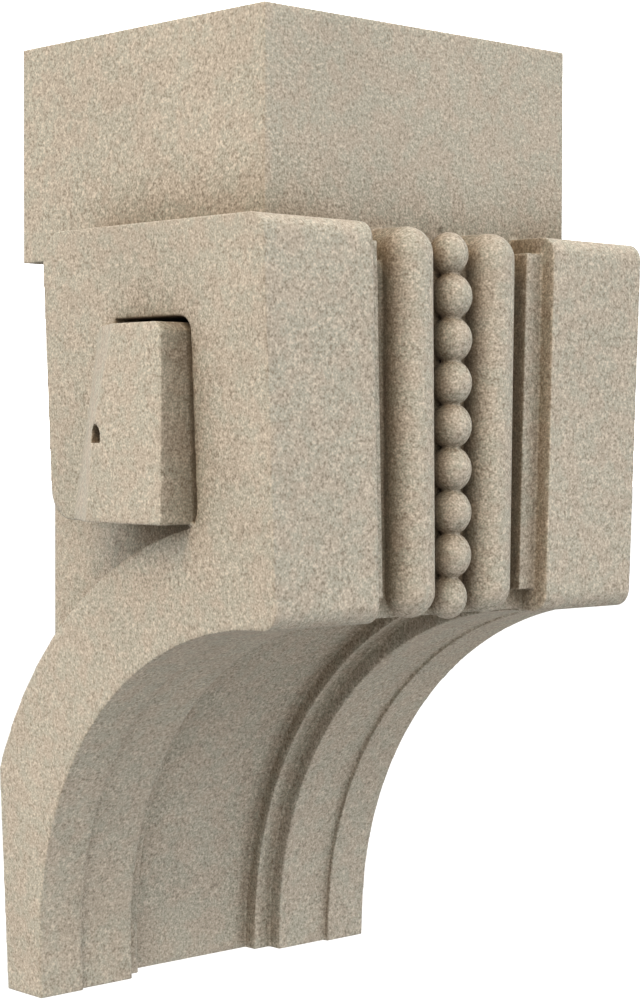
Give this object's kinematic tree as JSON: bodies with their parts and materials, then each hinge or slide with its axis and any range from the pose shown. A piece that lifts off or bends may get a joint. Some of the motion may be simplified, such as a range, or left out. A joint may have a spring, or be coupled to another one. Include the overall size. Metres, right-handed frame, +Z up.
{
  "type": "stone corbel",
  "caption": "Cast stone corbel: square top block over a narrower core with a concave underside, scrolled side plates, and a sunk front field with round rods and a string of beads.",
  "frame": {"origin": "on the wall plane, at the centre of the top block's back face", "axes": "+Z up, -Y out of the wall towards the front, +X to the right seen from the front"},
  "size_m": [0.2416, 0.182, 0.405],
  "materials": {
    "cast_stone": "fine, sand-like grain, matt, warm beige"
  },
  "bodies": {
    "root": {"corbel": "cast_stone"}
  },
  "joints": []
}
